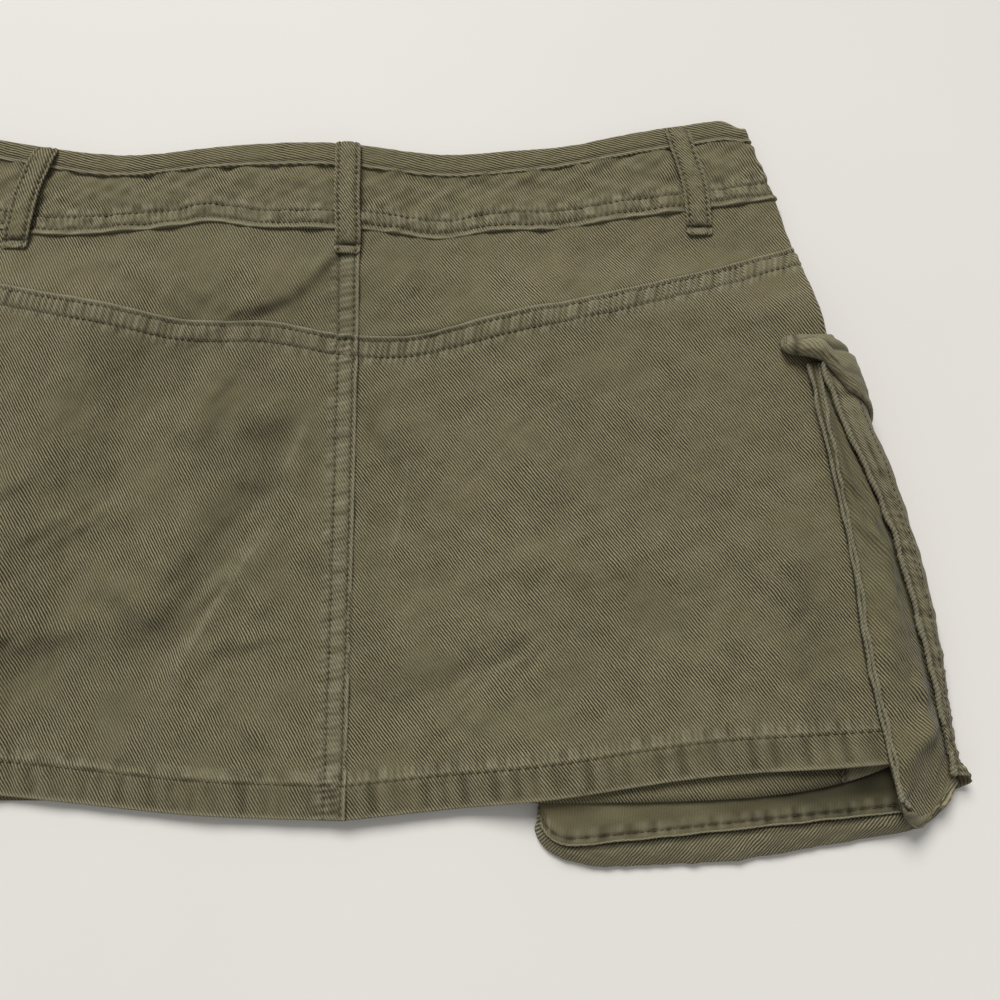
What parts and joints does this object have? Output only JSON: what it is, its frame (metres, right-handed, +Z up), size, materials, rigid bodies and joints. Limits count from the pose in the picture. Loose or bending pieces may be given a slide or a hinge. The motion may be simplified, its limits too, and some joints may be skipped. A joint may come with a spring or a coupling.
{
  "type": "cargo mini skirt",
  "caption": "Low-rise olive twill cargo mini skirt with bellows side pockets, yoke, belt loops and a bound waist, lying flat on its front.",
  "frame": {"origin": "on the ground, below the middle of the box round the laid garment", "axes": "+X to the wearer's right, +Y to the waist, +Z up from the ground, with the back of the skirt on top"},
  "size_m": [0.557, 0.3372, 0.0222],
  "materials": {
    "twill": "washed matt olive cotton twill with a diagonal rib and dark tonal stitching",
    "button": "dull dark metal"
  },
  "bodies": {
    "root": {"back_panel_right": "twill", "back_panel_left": "twill", "back_yoke_right": "twill", "back_yoke_left": "twill", "front_panel_right": "twill", "front_panel_left": "twill", "waistband_back": "twill", "waistband_front_right": "twill", "waistband_front_left": "twill", "waist_binding_back": "twill", "waist_binding_front_right": "twill", "waist_binding_front_left": "twill", "belt_loop_back_centre": "twill", "belt_loop_back_right": "twill", "belt_loop_back_left": "twill", "belt_loop_front_right": "twill", "belt_loop_front_left": "twill", "waist_button": "button", "pocket_backing_right": "twill", "pocket_face_right": "twill", "pocket_bellows_right": "twill", "pocket_flap_right": "twill", "pocket_backing_left": "twill", "pocket_face_left": "twill", "pocket_bellows_left": "twill", "pocket_flap_left": "twill"}
  },
  "joints": []
}
